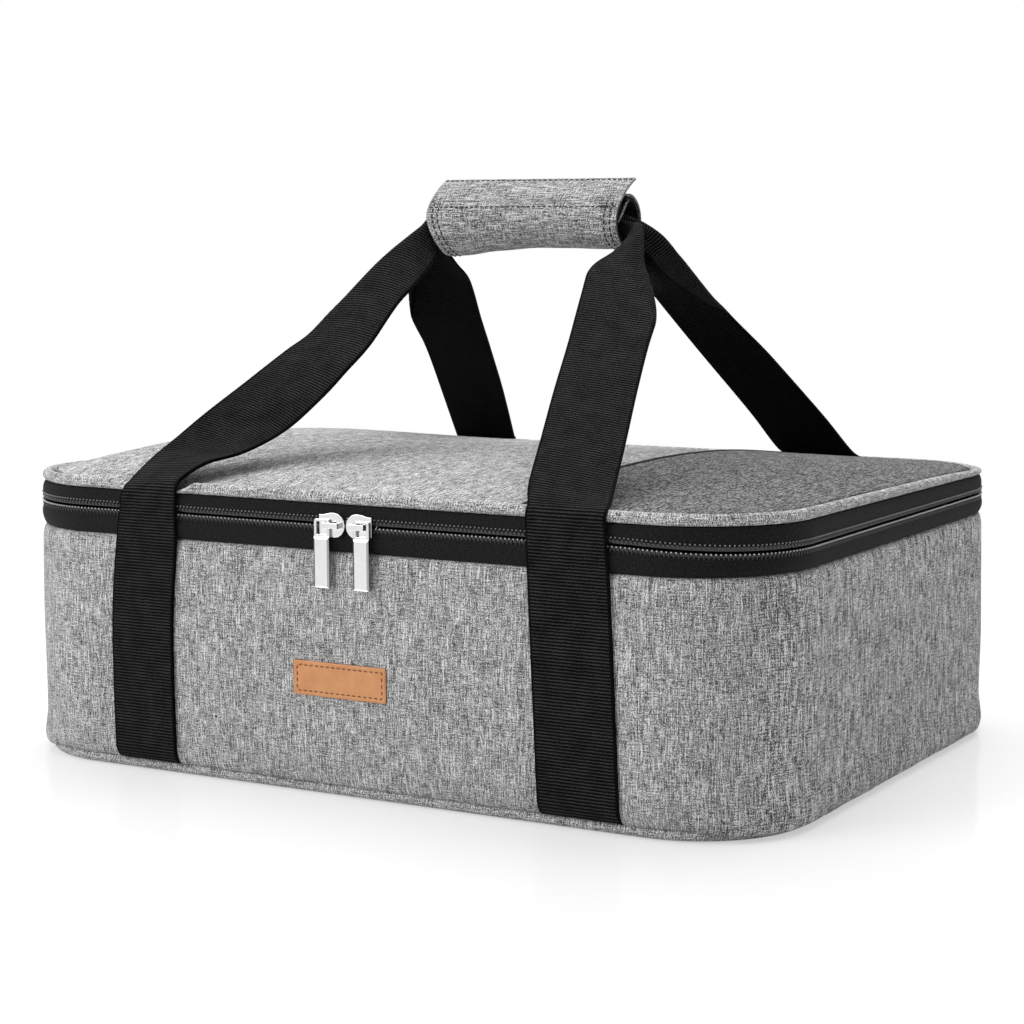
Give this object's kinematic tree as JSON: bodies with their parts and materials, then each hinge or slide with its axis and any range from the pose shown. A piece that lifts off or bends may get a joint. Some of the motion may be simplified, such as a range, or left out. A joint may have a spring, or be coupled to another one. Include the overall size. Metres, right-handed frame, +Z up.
{
  "type": "insulated casserole carrier",
  "caption": "Soft insulated rectangular carrier for a casserole dish: padded tub, zipped hinged lid with a flat pocket, webbing handles joined in a wrapped cloth grip, leather label.",
  "frame": {"origin": "middle of the flat underside, on the surface that the carrier rests on", "axes": "+X along the length to the pocket's end, -Y to the front with the zip pulls and the label, +Z up"},
  "size_m": [0.4088, 0.3188, 0.2811],
  "materials": {
    "heather_cloth": "woven light-grey heather",
    "pocket_cloth": "woven dark-grey heather",
    "webbing": "black ribbed webbing",
    "zip_band": "black twill tape",
    "zip_coil": "black coil",
    "touch_fastener": "black hook and loop",
    "foam": "white closed-cell foam",
    "board": "dark plastic sheet",
    "liner_film": "wipe-clean silver-grey film",
    "label_leather": "tan, stitched edge",
    "zip_metal": "bright nickel"
  },
  "bodies": {
    "tub": {"base_panel": "heather_cloth", "base_piping": "heather_cloth", "base_board": "board", "base_foam": "foam", "wall_fabric": "heather_cloth", "wall_foam": "foam", "liner": "liner_film", "rim_binding": "zip_band", "zipper_tape_lower": "zip_band", "zipper_coil_lower": "zip_coil", "hinge_strip_lower": "zip_band", "label_patch": "label_leather", "strap_leg_front_left": "webbing", "strap_leg_front_right": "webbing", "strap_leg_rear_left": "webbing", "strap_leg_rear_right": "webbing"},
    "lid": {"lid_fabric": "heather_cloth", "lid_foam": "foam", "lid_liner": "liner_film", "lid_rim_binding": "zip_band", "lid_piping": "heather_cloth", "zipper_tape_upper": "zip_band", "zipper_coil_upper": "zip_coil", "hinge_strip_upper": "zip_band", "lid_pocket": "pocket_cloth", "pocket_binding": "zip_band"},
    "front_handle": {"front_handle_webbing": "webbing", "grip_wrap": "heather_cloth", "grip_lining": "zip_band", "grip_loop_strip": "touch_fastener"},
    "grip_flap": {"grip_flap": "heather_cloth", "grip_hook_strip": "touch_fastener"},
    "rear_handle": {"rear_handle_webbing": "webbing"},
    "left_slider": {"left_slider": "zip_metal"},
    "right_slider": {"right_slider": "zip_metal"},
    "left_pull": {"left_pull": "zip_metal"},
    "right_pull": {"right_pull": "zip_metal"}
  },
  "joints": [
    {"name": "lid_hinge", "type": "hinge", "parent": "tub", "child": "lid", "pos_m": [0, 0.1568, 0.125], "axis": [-1, 0, 0], "range_deg": [0, 105], "deforming": ["front_handle_webbing", "rear_handle_webbing"]},
    {"name": "front_handle_swing", "type": "hinge", "parent": "tub", "child": "front_handle", "pos_m": [0, -0.15705, 0.1127], "axis": [1, 0, 0], "range_deg": [0, 158]},
    {"name": "rear_handle_swing", "type": "hinge", "parent": "tub", "child": "rear_handle", "pos_m": [0, 0.15705, 0.1127], "axis": [-1, 0, 0], "range_deg": [0, 158]},
    {"name": "grip_flap_open", "type": "hinge", "parent": "front_handle", "child": "grip_flap", "pos_m": [0.01, -0.01011, 0.26886], "axis": [1, 0, 0], "range_deg": [0, 140]},
    {"name": "left_slider_run", "type": "slide", "parent": "tub", "child": "left_slider", "axis": [-1, 0, 0], "range_m": [0, 0.07]},
    {"name": "right_slider_run", "type": "slide", "parent": "tub", "child": "right_slider", "axis": [1, 0, 0], "range_m": [0, 0.07]},
    {"name": "left_pull_swing", "type": "hinge", "parent": "left_slider", "child": "left_pull", "pos_m": [-0.0081, -0.1585, 0.125], "axis": [0, 1, 0], "range_deg": [-10, 95]},
    {"name": "right_pull_swing", "type": "hinge", "parent": "right_slider", "child": "right_pull", "pos_m": [0.0131, -0.1585, 0.125], "axis": [0, -1, 0], "range_deg": [-10, 95]}
  ],
  "couplings": [
    {"joint": "front_handle_swing", "follows": "lid_hinge", "ratio": 1.5},
    {"joint": "rear_handle_swing", "follows": "lid_hinge", "ratio": 1.5}
  ]
}
